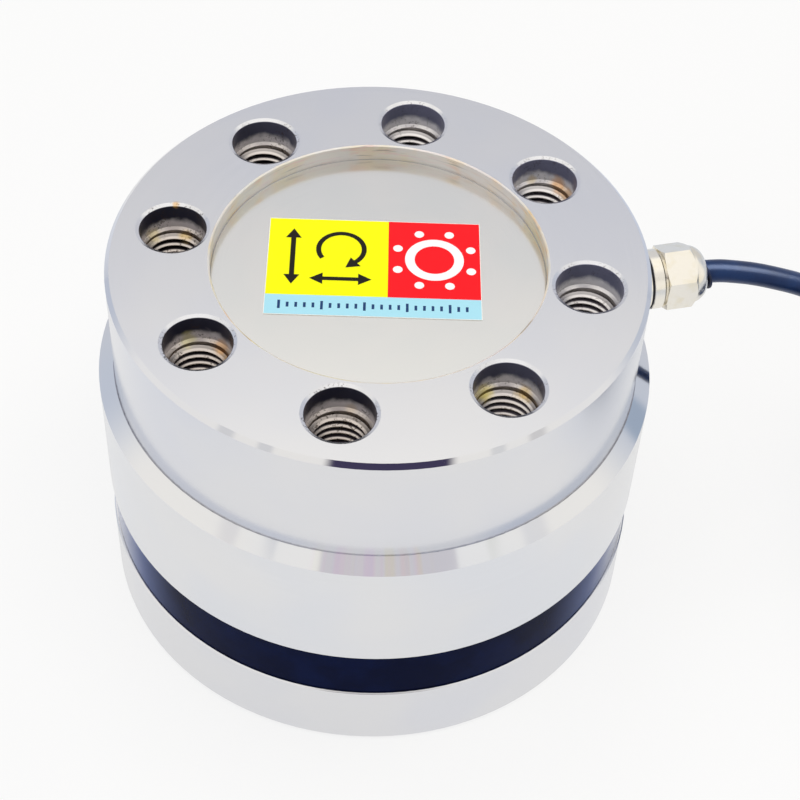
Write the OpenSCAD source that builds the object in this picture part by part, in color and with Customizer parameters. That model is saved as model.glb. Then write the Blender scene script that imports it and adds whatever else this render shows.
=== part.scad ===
// Force and torque sensor: a body turned from one bar of steel, with two tapped
// mounting flanges joined by a gauge tube. A sleeve and a soft ring close the gauge
// space, two cover plates close the bore, and the cable leaves through a gland.
// Millimetres. The origin is the centre of the lower mounting face, +Z is up and
// the gland points along +X.

/* [Body] */
// Outer diameter of the lower flange and of the sleeve
flange_d = 130; // [129:0.5:134]
// Height of the lower flange
flange_h = 19.5; // [18.5:0.5:21]
// Outer diameter of the head
head_d = 122.5; // [121:0.5:123]
// Height over both mounting faces
total_h = 97.5; // [97:0.5:100]
// Thickness of the head, from its underside to the upper mounting face
head_h = 43.5; // [43:0.5:45]
// Outer diameter of the gauge tube
tube_d = 64; // [62:0.5:66]
// Bore of the gauge tube
bore_d = 52; // [50:0.5:53]
// Fillet where the gauge tube runs into the flange and the head
tube_fillet = 6; // [4:0.5:7]
// Chamfer on the outer edges of the mounting faces
edge_chamfer = 1; // [0.5:0.1:1.5]

/* [Tapped holes] */
// Number of tapped holes in each mounting face
hole_count = 8; // [8]
// Pitch circle of the tapped holes
hole_pcd = 95; // [94.5:0.5:96]
// Major diameter of the thread
thread_d = 14; // [12:0.5:14]
// Depth of the threads below the upper face
top_hole_depth = 24; // [20:1:26]
// Diameter of the clearance bore above the upper threads
counterbore_d = 15.2; // [15:0.1:15.6]
// Depth of the clearance bore above the upper threads
counterbore_depth = 6.6; // [5:0.1:8]
// Depth of the threads above the lower face
base_hole_depth = 13; // [11:0.5:13.5]
// Depth of the countersink round the mouth of each upper hole
mouth_depth = 0.5; // [0.3:0.05:0.6]
// Depth of the countersink round the mouth of each lower hole
base_mouth_depth = 0.4; // [0.2:0.05:0.45]
// Included angle of the countersinks
countersink = 120; // [90:5:120]

/* [Covers] */
// Diameter of the recess in each mounting face
recess_d = 76; // [75:0.5:76.5]
// Depth of the recess, down to the cover plate
recess_depth = 4; // [3:0.5:5]
// Thickness of the cover plates
cover_t = 3; // [2.5:0.5:3.5]
// Diameter of the terminal chamber under the upper cover
chamber_d = 66; // [65:0.5:67]

/* [Sleeve and soft ring] */
// Lower edge of the sleeve
sleeve_z0 = 33.8; // [32:0.1:35]
// Upper edge of the sleeve
sleeve_z1 = 68; // [66:0.5:69]
// Height of the bevel at the top of the sleeve
bevel_h = 2.6; // [2:0.1:3]
// How far the soft ring stands back from the flange and the sleeve
ring_inset = 0.6; // [0.3:0.1:1]
// Radial width of the soft ring
ring_w = 7.4; // [6:0.2:8]

/* [Label] */
// Length of the label
label_l = 48.4; // [40:0.2:50]
// Width of the label
label_w = 31; // [20:0.2:32]
// Turn of the label about the upright axis
label_turn = -13.5; // [-30:0.5:30]

/* [Gland] */
// Height of the gland's axis
gland_z = 78.1; // [77.5:0.1:79]
// Width across the flats of the dome nut
nut_af = 14; // [13.6:0.1:14.4]
// Major diameter of the connection thread
gland_thread_d = 12; // [11.5:0.5:12]
// Diameter of the round collar
collar_d = 14.3; // [14:0.1:15]
// Number of fingers on the clamping claw
claw_fingers = 8; // [6:1:10]

/* [Cable] */
// Diameter of the cable
cable_d = 5.6; // [5.4:0.1:5.6]
// Mid-turn diameter of the coil
coil_d = 63.7; // [60:0.1:66]
// Turns in each layer of the coil
coil_turns = 3.5; // [3:0.5:4]
// Layers in the coil
coil_layers = 4; // [3:1:5]
// Length of each core beyond the end sleeve
core_l = 18; // [12:1:20]

/* [Hidden] */
$fn = 72;
eps = 0.01;

flange_r = flange_d / 2;
head_r = head_d / 2;
head_z = total_h - head_h;
tube_r = tube_d / 2;
bore_r = bore_d / 2;
recess_r = recess_d / 2;
chamber_r = chamber_d / 2;
hole_r = thread_d / 2;
drill_cone = 0.6;
drill_point = 118;
flange_edge = 0.3;

top_plate_z = total_h - recess_depth - cover_t;
shelf_z = 62;
recess_break = 0.2;
flare = tan(countersink / 2);

// O-ring grooves: width and depth of a groove that squeezes a 1.8 mm ring
groove_w = 2.2;
groove_t = 1.4;
top_groove_r = (chamber_r + recess_r) / 2;
base_groove_r = 34;
sleeve_groove_z = 59;

// gauge flats, milled half way up the tube between the bolt axes
gauge_count = 8;
gauge_z = (flange_h + head_z) / 2;
flat_r = tube_r - 0.8;
flat_w = 16;
flat_h = 17;
foil_t = 0.15;
grid_t = 0.1;
lead_ring_z = 46;
lead_ring_r = tube_r + 1.2;
lead_ring_t = 0.8;
lead_t = 0.3;
feed_d = 4;
feed_x = 20;

// terminal board on spacers in the chamber
board_t = 1.6;
board_gap = 5;
board_r = chamber_r - 0.6;
board_z = shelf_z + board_gap;
board_top = board_z + board_t;
board_bolt_r = 29.5;
board_bolt_turn = 45;
m3_r = 1.5;
spacer_r = 2.5;

// stations along the gland's axis, from the sensor's own axis
seat_x = 60.5;
seat_r = 9;
gland_hole_x = 51;
gland_in_x = 52;
lock_ring_x = 65.2;
collar_x0 = 65.5;
collar_x1 = 68.4;
nut_x0 = 68.9;
nut_x1 = 76.4;
dome_x1 = 79.5;
upper_thread_x = 74.5;
upper_thread_r = 6.2;
claw_x0 = 66.4;
claw_x1 = 75.3;
claw_r = 4.9;
claw_in_r = 3.9;
seal_x0 = 67;
seal_lip_x = 79.7;
seal_lip_r = 4.4;
seal_lip_t = 0.8;
seal_lip_tilt = 18;
seal_lip_side = -50;
passage_r = 3.5;
cable_r = cable_d / 2;
inner_cable_x = 20;

// clamp that takes the pull of the cable inside the chamber
clamp_x = [22, 30];
clamp_w = 17;
clamp_top = gland_z + 5;
clamp_screw_y = 5.8;

// route of the cable from the mouth of the gland to the coil, in the XZ plane
ROUTE = [
    [79.5, 0, 78.1], [83, 0, 77.8], [86.5, 0, 77.1], [93.5, 0, 74.9],
    [100.5, 0, 71.9], [107.5, 0, 68.4], [116, 0, 63], [123, 0, 56.5],
    [129.5, 0, 48.5], [134.5, 0, 39.5], [138.5, 0, 29.5], [142.5, 0, 19.5],
    [147, 0, 12.5], [153, 0, 7], [160, 0, 3.9], [168, 0, 2.8]
];
route_sides = 10;

// the coil lies where the route reaches the floor, its outer turn in line with it
coil_pitch = 5.7;
coil_half = coil_pitch * coil_turns / 2;
coil_out_r = coil_d / 2 + coil_half + cable_r;
coil_in_r = coil_d / 2 - coil_half - cable_r;
coil_h = coil_layers * cable_d;
coil_x = ROUTE[len(ROUTE) - 1][0];
coil_y = -(coil_d / 2 + coil_half);
tail_r = coil_d / 2;
tail_turn = 110;
end_sleeve_r = 3.3;
end_sleeve_l = 14;
tail_z = coil_h + end_sleeve_r;
core_r = 0.6;
core_count = 6;
tie_turn = 200;
tie_w = 6;
tie_t = 1.1;

// ---- helpers ----

// copies round the sensor's axis, starting half a step from the gland
module around(count, r) {
    for (i = [0 : count - 1])
        rotate([0, 0, (i + 0.5) * 360 / count]) translate([r, 0, 0]) children();
}

// a straight rod between two points
module rod(a, b, r) {
    d = b - a;
    translate(a)
        rotate([0, acos(d[2] / norm(d)), atan2(d[1], d[0])])
            cylinder(h = norm(d), r = r, $fn = 24);
}

// a shape turned about the gland's axis, from [radius, station] points
module turned_on_gland(points) {
    on_gland() rotate_extrude() polygon(points);
}

module on_gland() {
    translate([0, 0, gland_z]) rotate([0, 90, 0]) children();
}

// section of a disc or ring with chamfers on its two outer edges
module rim_section(r0, r1, z0, z1, lower, upper) {
    polygon([
        [r0, z0], [r1 - lower, z0], [r1, z0 + lower],
        [r1, z1 - upper], [r1 - upper, z1], [r0, z1]
    ]);
}

// ---- body ----

// fillet in the corner between the tube and a face above or below it
module tube_fillet_section(z, up) {
    difference() {
        translate([tube_r - eps, up > 0 ? z : z - tube_fillet])
            square([tube_fillet + eps, tube_fillet]);
        translate([tube_r + tube_fillet, z + up * tube_fillet]) circle(r = tube_fillet);
    }
}

// a cover plate's recess: the open part, the plate's seat and the broken edge
module recess_section(z, up) {
    depth = recess_depth + cover_t;
    translate([0, up > 0 ? z : z - depth]) square([recess_r, depth]);
    polygon([
        [0, z - up * eps], [recess_r + (recess_break + eps) * flare, z - up * eps],
        [recess_r, z + up * recess_break], [0, z + up * recess_break]
    ]);
}

module groove_section(r, z, up) {
    translate([r - groove_w / 2, up > 0 ? z - eps : z - groove_t])
        square([groove_w, groove_t + eps]);
}

module body_section() {
    difference() {
        union() {
            rim_section(0, flange_r, 0, flange_h, edge_chamfer, flange_edge);
            rim_section(0, head_r, head_z, total_h, edge_chamfer / 2, edge_chamfer);
            translate([0, flange_h - eps]) square([tube_r, head_z - flange_h + 2 * eps]);
            tube_fillet_section(flange_h, 1);
            tube_fillet_section(head_z, -1);
        }
        translate([0, -eps]) square([bore_r, shelf_z + 2 * eps]);
        translate([0, shelf_z]) square([chamber_r, total_h]);
        recess_section(0, 1);
        recess_section(total_h, -1);
        groove_section(top_groove_r, top_plate_z, -1);
        groove_section(base_groove_r, recess_depth + cover_t, 1);
        translate([head_r - groove_t, sleeve_groove_z - groove_w / 2])
            square([groove_t + 1, groove_w]);
    }
}

// cutter for a tapped hole below z = 0: countersunk mouth, clearance bore, thread
module tapped_hole(depth, mouth, clear_r, clear_depth) {
    rotate_extrude() polygon([
        [0, eps], [clear_r + (mouth + eps) * flare, eps], [clear_r, -mouth],
        [clear_r, -clear_depth], [hole_r, -clear_depth - drill_cone],
        [hole_r, -depth], [0, -depth - hole_r / tan(drill_point / 2)]
    ]);
}

module elastic_body() {
    color([0.78, 0.78, 0.79])
    difference() {
        rotate_extrude() body_section();
        translate([0, 0, total_h]) around(hole_count, hole_pcd / 2)
            tapped_hole(top_hole_depth, mouth_depth, counterbore_d / 2, counterbore_depth);
        around(hole_count, hole_pcd / 2) mirror([0, 0, 1])
            tapped_hole(base_hole_depth, base_mouth_depth, hole_r, 1);
        around(gauge_count, flat_r + 2)
            translate([0, 0, gauge_z]) cube([4, flat_w, flat_h], center = true);
        // feed hole for the gauge leads, through the tube's wall
        translate([0, 0, lead_ring_z]) rotate([0, 90, 0])
            cylinder(h = tube_r + 1, d = feed_d);
        // gland: spot face, tapped hole and cable passage
        on_gland() {
            translate([0, 0, seat_x]) cylinder(h = 10, r = seat_r);
            translate([0, 0, gland_hole_x]) cylinder(h = 20, d = gland_thread_d);
            translate([0, 0, chamber_r - 2]) cylinder(h = 30, r = passage_r);
        }
        // holes for the board's screws
        rotate([0, 0, board_bolt_turn - 45]) around(4, board_bolt_r)
            translate([0, 0, shelf_z - 6]) cylinder(h = 7, r = m3_r);
    }
}

// ---- sleeve, soft ring and covers ----

module cover_sleeve() {
    color([0.74, 0.74, 0.76])
    rotate_extrude() polygon([
        [head_r, sleeve_z0], [flange_r - flange_edge, sleeve_z0],
        [flange_r, sleeve_z0 + flange_edge], [flange_r, sleeve_z1 - bevel_h],
        [head_r + 0.25, sleeve_z1], [head_r, sleeve_z1 - 0.35]
    ]);
}

module sleeve_o_ring() {
    color([0.1, 0.1, 0.1])
    rotate_extrude() translate([head_r - groove_t, sleeve_groove_z - groove_w / 2])
        square([groove_t, groove_w]);
}

// soft ring between flange and sleeve, with a lip that keys inside the sleeve
module sealing_ring() {
    color([0.07, 0.11, 0.22])
    rotate_extrude() {
        r1 = flange_r - ring_inset;
        rim_section(r1 - ring_w, r1, flange_h, sleeve_z0, 0.3, 0.3);
        translate([r1 - ring_w, sleeve_z0 - eps])
            square([head_r - r1 + ring_w, 4 + eps]);
    }
}

module top_cover_plate() {
    color([0.72, 0.72, 0.71])
    rotate_extrude() rim_section(0, recess_r, top_plate_z, top_plate_z + cover_t, 0, 0.3);
}

module bottom_cover_plate() {
    color([0.72, 0.72, 0.71])
    rotate_extrude() rim_section(0, recess_r, recess_depth, recess_depth + cover_t, 0.3, 0);
}

module top_cover_o_ring() {
    color([0.1, 0.1, 0.1])
    rotate_extrude() groove_fill(top_groove_r, top_plate_z - groove_t);
}

module bottom_cover_o_ring() {
    color([0.1, 0.1, 0.1])
    rotate_extrude() groove_fill(base_groove_r, recess_depth + cover_t);
}

module groove_fill(r, z) {
    translate([r - groove_w / 2, z]) square([groove_w, groove_t]);
}

module label() {
    color([0.95, 0.93, 0.2])
    translate([-1, 0.7, top_plate_z + cover_t]) rotate([0, 0, label_turn])
        translate([-label_l / 2, -label_w / 2, 0]) cube([label_l, label_w, 0.15]);
}

// ---- gauges and their leads ----

// gauge foil on a flat: a carrier with two measuring grids
module gauge(w, h) {
    translate([0, -w / 2, -h / 2]) cube([foil_t, w, h]);
    children();
}

module grid(y, z, turn, w, h) {
    translate([foil_t - eps, y, z]) rotate([turn, 0, 0])
        translate([0, -w / 2, -h / 2]) cube([grid_t + eps, w, h]);
}

module torque_gauges() {
    color([0.85, 0.6, 0.2])
    for (i = [0 : 2 : gauge_count - 1])
        rotate([0, 0, (i + 0.5) * 360 / gauge_count]) translate([flat_r, 0, gauge_z])
            gauge(11, 8) {
                grid(-2.6, 0.6, 45, 3.2, 3.2);
                grid(2.6, 0.6, -45, 3.2, 3.2);
            }
}

module thrust_gauges() {
    color([0.8, 0.5, 0.2])
    for (i = [1 : 2 : gauge_count - 1])
        rotate([0, 0, (i + 0.5) * 360 / gauge_count]) translate([flat_r, 0, gauge_z])
            gauge(9, 10) {
                grid(0, 2.2, 0, 3.4, 4);
                grid(0, -2.6, 90, 3.4, 4);
            }
}

// leads rise from the foils to a ring round the tube and go in through the feed hole
module gauge_leads() {
    color([0.75, 0.1, 0.1])
    union() {
        translate([0, 0, lead_ring_z]) rotate_extrude()
            translate([lead_ring_r, 0]) circle(r = lead_ring_t, $fn = 24);
        around(gauge_count, 0)
            for (y = [-1.2, 1.2])
                rod([flat_r + foil_t + lead_t, y, gauge_z + 3], [lead_ring_r, y, lead_ring_z], lead_t);
        rod([lead_ring_r, 0, lead_ring_z], [feed_x, 0, lead_ring_z], lead_ring_t);
        translate([feed_x, 0, lead_ring_z]) sphere(r = lead_ring_t, $fn = 24);
        rod([feed_x, 0, lead_ring_z], [feed_x, 0, board_z], lead_ring_t);
    }
}

// ---- terminal board ----

module on_board_bolts() {
    rotate([0, 0, board_bolt_turn - 45]) around(4, board_bolt_r) children();
}

module terminal_board() {
    color([0.1, 0.4, 0.2])
    difference() {
        translate([0, 0, board_z]) cylinder(h = board_t, r = board_r);
        translate([0, 0, board_z - 1]) cylinder(h = board_t + 2, r = 6);
        on_board_bolts() translate([0, 0, board_z - 1]) cylinder(h = board_t + 2, r = m3_r);
        for (s = [-1, 1])
            translate([(clamp_x[0] + clamp_x[1]) / 2, s * clamp_screw_y, board_z - 1])
                cylinder(h = board_t + 2, r = 1.25);
    }
}

module board_spacers() {
    color([0.75, 0.6, 0.3])
    on_board_bolts() translate([0, 0, shelf_z]) difference() {
        cylinder(h = board_gap, r = spacer_r);
        translate([0, 0, -1]) cylinder(h = board_gap + 2, r = m3_r);
    }
}

module board_screws() {
    color([0.7, 0.7, 0.72])
    on_board_bolts() difference() {
        union() {
            translate([0, 0, shelf_z - 5]) cylinder(h = board_top - shelf_z + 5.5, r = m3_r);
            translate([0, 0, board_top]) cylinder(h = 2, r = 2.75);
        }
        translate([0, 0, board_top + 0.8]) cylinder(h = 2, r = 1.25, $fn = 6);
    }
}

// bridge balance and temperature resistors, lying on the board
module trim_resistors() {
    color([0.75, 0.7, 0.5])
    for (y = [-16, -12, 12, 16]) translate([-7, y, board_top]) {
        translate([0, 0, 1.1]) rotate([0, 90, 0]) cylinder(h = 6, r = 1.1, center = true);
        for (s = [-1, 1]) {
            rod([s * 3, 0, 1.1], [s * 5, 0, 1.1], 0.3);
            rod([s * 5, 0, 1.4], [s * 5, 0, 0], 0.3);
        }
    }
}

// ---- cable inside the sensor ----

module inner_cable() {
    color([0.13, 0.19, 0.37])
    on_gland() translate([0, 0, inner_cable_x]) cylinder(h = dome_x1 - inner_cable_x, r = cable_r);
}

// cores from the stripped end of the cable down to their solder pads on the board
module signal_wires() {
    color([0.8, 0.2, 0.15])
    for (i = [0 : core_count - 1]) {
        a = (i + 0.5) * 360 / core_count;
        start = [inner_cable_x, 1.7 * cos(a), gland_z + 1.7 * sin(a)];
        foot = [11 - 3 * sin(a), 6 * cos(a), board_top];
        rod(start + [0.5, 0, 0], foot + [0, 0, 0.3], core_r);
        translate(foot) cylinder(h = 0.8, r = 1, $fn = 24);
    }
}

module cable_clamp() {
    color([0.15, 0.15, 0.16])
    difference() {
        translate([clamp_x[0], -clamp_w / 2, board_top])
            cube([clamp_x[1] - clamp_x[0], clamp_w, clamp_top - board_top]);
        on_gland() cylinder(h = 40, r = cable_r);
        for (s = [-1, 1])
            translate([(clamp_x[0] + clamp_x[1]) / 2, s * clamp_screw_y, 60])
                cylinder(h = 30, r = 1.25);
    }
}

module clamp_screws() {
    color([0.7, 0.7, 0.72])
    for (s = [-1, 1])
        translate([(clamp_x[0] + clamp_x[1]) / 2, s * clamp_screw_y, 0]) difference() {
            union() {
                translate([0, 0, board_z - 1]) cylinder(h = clamp_top - board_z + 1.5, r = 1.25);
                translate([0, 0, clamp_top]) cylinder(h = 1.8, r = 2.25);
            }
            translate([0, 0, clamp_top + 0.8]) cylinder(h = 2, r = 1, $fn = 6);
        }
}

// ---- cable gland ----

module gland_lock_ring() {
    r = collar_d / 2;
    color([0.86, 0.82, 0.72])
    turned_on_gland([
        [gland_thread_d / 2, seat_x], [r - 0.3, seat_x], [r, seat_x + 0.3],
        [r, lock_ring_x - 0.3], [r - 0.3, lock_ring_x], [gland_thread_d / 2, lock_ring_x]
    ]);
}

module gland_o_ring() {
    color([0.08, 0.08, 0.08])
    turned_on_gland([
        [gland_thread_d / 2, lock_ring_x], [collar_d / 2 - 0.25, lock_ring_x],
        [collar_d / 2 - 0.1, collar_x0], [collar_d / 2 - 0.45, collar_x0],
        [collar_d / 2 - 0.45, collar_x0 + 0.7], [gland_thread_d / 2, collar_x0 + 0.7]
    ]);
}

module gland_body() {
    r = collar_d / 2;
    thread_r = gland_thread_d / 2;
    color([0.84, 0.81, 0.74])
    turned_on_gland([
        [3.4, gland_in_x], [thread_r - 0.6, gland_in_x], [thread_r, gland_in_x + 0.6],
        [thread_r, collar_x0 + 0.7], [r - 0.45, collar_x0 + 0.7], [r - 0.45, collar_x0],
        [r - 0.2, collar_x0], [r, collar_x0 + 0.2], [r, collar_x1 - 0.35],
        [r - 0.35, collar_x1], [upper_thread_r, collar_x1],
        [upper_thread_r, upper_thread_x - 0.5], [upper_thread_r - 0.5, upper_thread_x],
        [claw_r, upper_thread_x], [claw_r, claw_x0], [3.4, claw_x0 - 0.8]
    ]);
}

// slotted clamping cage: the dome nut bends its fingers in against the seal
module gland_claw() {
    color([0.1, 0.1, 0.12])
    difference() {
        turned_on_gland([
            [claw_in_r, claw_x0], [claw_r, claw_x0], [claw_r, claw_x1],
            [claw_r - 0.35, dome_x1 - 1.7], [claw_in_r, dome_x1 - 1.7]
        ]);
        on_gland() for (i = [0 : claw_fingers - 1])
            rotate([0, 0, (i + 0.5) * 360 / claw_fingers])
                translate([0, -0.4, claw_x0 + 2.5]) cube([8, 0.8, 20]);
    }
}

// rubber bush round the cable: it fills the nut's mouth and ends in a lip,
// which the bend of the cable has pulled askew
module gland_seal() {
    color([0.07, 0.07, 0.08])
    difference() {
        on_gland() union() {
            rotate_extrude() {
                polygon([
                    [0, seal_x0], [claw_in_r, seal_x0], [claw_in_r, dome_x1 - 0.8],
                    [cable_r + 0.6, dome_x1 - 0.3], [0, dome_x1 - 0.3]
                ]);
                translate([claw_in_r, dome_x1 - 0.5]) circle(r = 0.3, $fn = 32);
            }
            translate([0, 0, seal_lip_x]) rotate([0, 0, seal_lip_side])
                rotate([0, -seal_lip_tilt, 0]) seal_lip();
        }
        on_gland() cylinder(h = dome_x1, r = cable_r);
        on_gland() translate([0, 0, dome_x1]) cylinder(h = 5, r = cable_r + 0.15);
    }
}

// lip with a rounded rim on a short neck, about its own axis
module seal_lip() {
    rim = seal_lip_t / 2;
    rotate_extrude() {
        translate([0, -rim]) square([seal_lip_r - rim, seal_lip_t]);
        translate([seal_lip_r - rim, 0]) circle(r = rim, $fn = 32);
        translate([0, -1.2]) square([cable_r + 0.5, 1.2]);
    }
}

module gland_dome_nut() {
    flat = nut_af / 2;
    corner = flat / cos(30);
    dome_r = 3.94;
    dome_side = flat - 0.05 - dome_r;
    color([0.88, 0.86, 0.8])
    difference() {
        union() {
            intersection() {
                on_gland() translate([0, 0, nut_x0])
                    cylinder(h = nut_x1 - nut_x0, r = corner, $fn = 6);
                turned_on_gland([
                    [0, nut_x0], [flat, nut_x0], [corner, nut_x0 + 0.3],
                    [corner, nut_x1 - 1], [flat, nut_x1], [0, nut_x1]
                ]);
            }
            on_gland() rotate_extrude() intersection() {
                union() {
                    translate([dome_side, nut_x1 - 0.4]) circle(r = dome_r, $fn = 96);
                    translate([0, nut_x1 - 1]) square([dome_side, dome_r + 0.6]);
                }
                translate([0, nut_x1 - 1]) square([flat, dome_x1 - 0.15 - nut_x1 + 1]);
            }
        }
        turned_on_gland([
            [0, nut_x0 - 1], [upper_thread_r, nut_x0 - 1], [upper_thread_r, claw_x1 - 0.3],
            [claw_r + 0.6, claw_x1 - 0.3], [claw_r, dome_x1 - 0.7],
            [claw_r, dome_x1 + 1], [0, dome_x1 + 1]
        ]);
    }
}

// ---- cable outside the sensor ----

// tangent at a point of a path, from its neighbours
function tangent(path, i) =
    let (d = path[min(i + 1, len(path) - 1)] - path[max(i - 1, 0)]) d / norm(d);

// a ring of points square to the path; the side axis is level
function ring(p, t, r, n) =
    let (side = [0, 1, 0], up = cross(side, t))
    [for (j = [0 : n - 1]) p + r * (cos(j * 360 / n) * up + sin(j * 360 / n) * side)];

module tube(path, r, n) {
    m = len(path);
    points = [for (i = [0 : m - 1]) each ring(path[i], i == 0 ? [1, 0, 0] : tangent(path, i), r, n)];
    sides = [for (i = [0 : m - 2], j = [0 : n - 1])
        let (k = (j + 1) % n)
        each [[i * n + j, i * n + k, (i + 1) * n + j], [i * n + k, (i + 1) * n + k, (i + 1) * n + j]]];
    start = [[for (j = [0 : n - 1]) n - 1 - j]];
    finish = [[for (j = [0 : n - 1]) (m - 1) * n + j]];
    polyhedron(points, concat(start, sides, finish));
}

module sensor_cable() {
    color([0.13, 0.19, 0.37]) tube(ROUTE, cable_r, route_sides);
}

module at_coil() {
    translate([coil_x, coil_y, 0]) children();
}

// strap round the bundle of turns
module tie_strap() {
    at_coil() rotate([0, 0, tie_turn])
        translate([coil_in_r - tie_t, -tie_w / 2, 0])
            cube([coil_out_r - coil_in_r + 2 * tie_t, tie_w, coil_h + tie_t]);
}

// the turns as one ring, with the tail of the cable lying on top
module cable_coil() {
    color([0.13, 0.19, 0.37])
    difference() {
        at_coil() union() {
            rotate_extrude() translate([coil_in_r, 0]) square([coil_out_r - coil_in_r, coil_h]);
            rotate([0, 0, 90 - tail_turn]) rotate_extrude(angle = tail_turn - 50)
                translate([tail_r - cable_r, coil_h - 0.5]) square([cable_d, cable_d + 1]);
        }
        difference() {
            tie_strap();
            tie_inside();
        }
    }
}

module tie_inside() {
    at_coil() rotate([0, 0, tie_turn])
        translate([coil_in_r, -tie_w, tie_t])
            cube([coil_out_r - coil_in_r, 2 * tie_w, coil_h - tie_t]);
}

module cable_tie() {
    color([0.12, 0.12, 0.13])
    difference() {
        tie_strap();
        tie_inside();
    }
}

// the cable's end leaves the coil along a tangent and rests on the turns
module at_tail() {
    at_coil() rotate([0, 0, 90 - tail_turn]) translate([tail_r, 0, tail_z])
        rotate([90, 0, 0]) children();
}

module cable_end_sleeve() {
    color([0.06, 0.06, 0.07])
    at_tail() cylinder(h = end_sleeve_l, r = end_sleeve_r);
}

module cable_cores() {
    color([0.8, 0.2, 0.15])
    at_tail() for (i = [0 : core_count - 1]) {
        a = 15 + i * 360 / core_count;
        start = [1.7 * cos(a), 1.7 * sin(a), end_sleeve_l - 1];
        finish = [6.5 * cos(a), 1.1 * core_r - end_sleeve_r, end_sleeve_l + core_l];
        rod(start, finish, core_r);
    }
}

elastic_body();
cover_sleeve();
sleeve_o_ring();
sealing_ring();
top_cover_plate();
top_cover_o_ring();
label();
bottom_cover_plate();
bottom_cover_o_ring();
torque_gauges();
thrust_gauges();
gauge_leads();
terminal_board();
trim_resistors();
board_spacers();
board_screws();
signal_wires();
inner_cable();
cable_clamp();
clamp_screws();
gland_lock_ring();
gland_o_ring();
gland_body();
gland_claw();
gland_seal();
gland_dome_nut();
sensor_cable();
cable_coil();
cable_tie();
cable_end_sleeve();
cable_cores();
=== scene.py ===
import math

import bmesh
import bpy
from mathutils import Matrix, Vector


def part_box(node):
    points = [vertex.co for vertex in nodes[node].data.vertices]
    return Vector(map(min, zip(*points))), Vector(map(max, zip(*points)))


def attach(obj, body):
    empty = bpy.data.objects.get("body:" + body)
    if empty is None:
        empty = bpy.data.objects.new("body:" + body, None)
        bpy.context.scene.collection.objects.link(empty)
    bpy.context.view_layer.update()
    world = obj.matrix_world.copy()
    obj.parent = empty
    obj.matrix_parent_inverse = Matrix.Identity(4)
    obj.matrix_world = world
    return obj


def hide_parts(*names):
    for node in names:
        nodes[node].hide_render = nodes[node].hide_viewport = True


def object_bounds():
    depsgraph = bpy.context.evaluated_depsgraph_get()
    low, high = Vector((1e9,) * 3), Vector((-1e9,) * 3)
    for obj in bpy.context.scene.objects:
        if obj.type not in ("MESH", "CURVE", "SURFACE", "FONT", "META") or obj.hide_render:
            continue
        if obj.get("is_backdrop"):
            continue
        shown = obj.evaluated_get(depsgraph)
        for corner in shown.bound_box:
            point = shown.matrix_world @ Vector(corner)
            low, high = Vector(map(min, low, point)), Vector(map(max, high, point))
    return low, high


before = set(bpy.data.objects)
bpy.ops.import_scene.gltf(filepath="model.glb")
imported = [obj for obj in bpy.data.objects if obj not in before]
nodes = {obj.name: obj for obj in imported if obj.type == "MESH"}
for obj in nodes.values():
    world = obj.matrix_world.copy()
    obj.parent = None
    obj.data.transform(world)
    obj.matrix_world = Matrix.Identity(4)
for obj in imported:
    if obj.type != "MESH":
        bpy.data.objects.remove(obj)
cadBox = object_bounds()
mm = 0.001
scene = bpy.context.scene
print("frame loaded:", len(nodes), "nodes")

# places that the CAD nodes give
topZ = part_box("elastic_body")[1].z
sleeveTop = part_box("cover_sleeve")[1].z
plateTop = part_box("top_cover_plate")[1].z
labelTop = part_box("label")[1].z
coilLow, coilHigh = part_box("cable_coil")
headR = 61.25 * mm
recessR = 38 * mm

# settings that many nodes share
times = {"operation": "MULTIPLY"}
eased = {"interpolation_type": "SMOOTHSTEP"}
inColour = {"data_type": "RGBA"}


# one sRGB hex value to linear colour
def colour(hexValue):
    out = []
    for i in (0, 2, 4):
        c = int(hexValue[i:i + 2], 16) / 255
        out.append(c / 12.92 if c <= 0.04045 else ((c + 0.055) / 1.055) ** 2.4)
    return (*out, 1.0)


def inMm(values):
    return [v * mm for v in values]


# a node with its settings and the links into it; gives one of its outputs, the first one in use if
# none is named. Inputs are sockets, numbers or hex colours, by name or in the order of those in use
def addNode(tree, kind, inputs=(), output=None, **settings):
    node = tree.nodes.new("ShaderNode" + kind)
    for key, value in settings.items():
        setattr(node, key, value)
    if isinstance(inputs, dict):
        pairs = [(node.inputs[name], value) for name, value in inputs.items()]
    else:
        pairs = zip([socket for socket in node.inputs if socket.enabled], inputs)
    for socket, value in pairs:
        if isinstance(value, bpy.types.NodeSocket):
            tree.links.new(value, socket)
        else:
            socket.default_value = colour(value) if isinstance(value, str) else value
    return node.outputs[output] if output else next((o for o in node.outputs if o.enabled), None)


# how far a place lies inside every limit, from 0 to 1 with soft edges; a limit is a value with the
# ends at which it counts 0 and 1, or a share by itself
def zone(tree, *limits):
    parts = [addNode(tree, "MapRange", p, **eased) if isinstance(p, tuple) else p for p in limits]
    inside = parts[0]
    for part in parts[1:]:
        inside = addNode(tree, "Math", (inside, part), **times)
    return inside


# soft patches of a given width, from 0 to 1
def patches(tree, place, width, detail=2.0, low=0.35, high=0.65):
    return zone(tree, (addNode(tree, "TexNoise", (place, 1 / (width * mm), detail)), low, high))


# a new material and its principled shader, with uniform values set on the shader
def newMaterial(name, baseColour, roughness, metallic=0.0, **values):
    mat = bpy.data.materials.new(name)
    mat.use_nodes = True
    tree = mat.node_tree
    shader = tree.nodes["Principled BSDF"]
    shader.inputs["Base Color"].default_value = colour(baseColour)
    shader.inputs["Roughness"].default_value = roughness
    shader.inputs["Metallic"].default_value = metallic
    for key, value in values.items():
        shader.inputs[key.replace("_", " ")].default_value = value
    return mat, tree, shader


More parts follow.
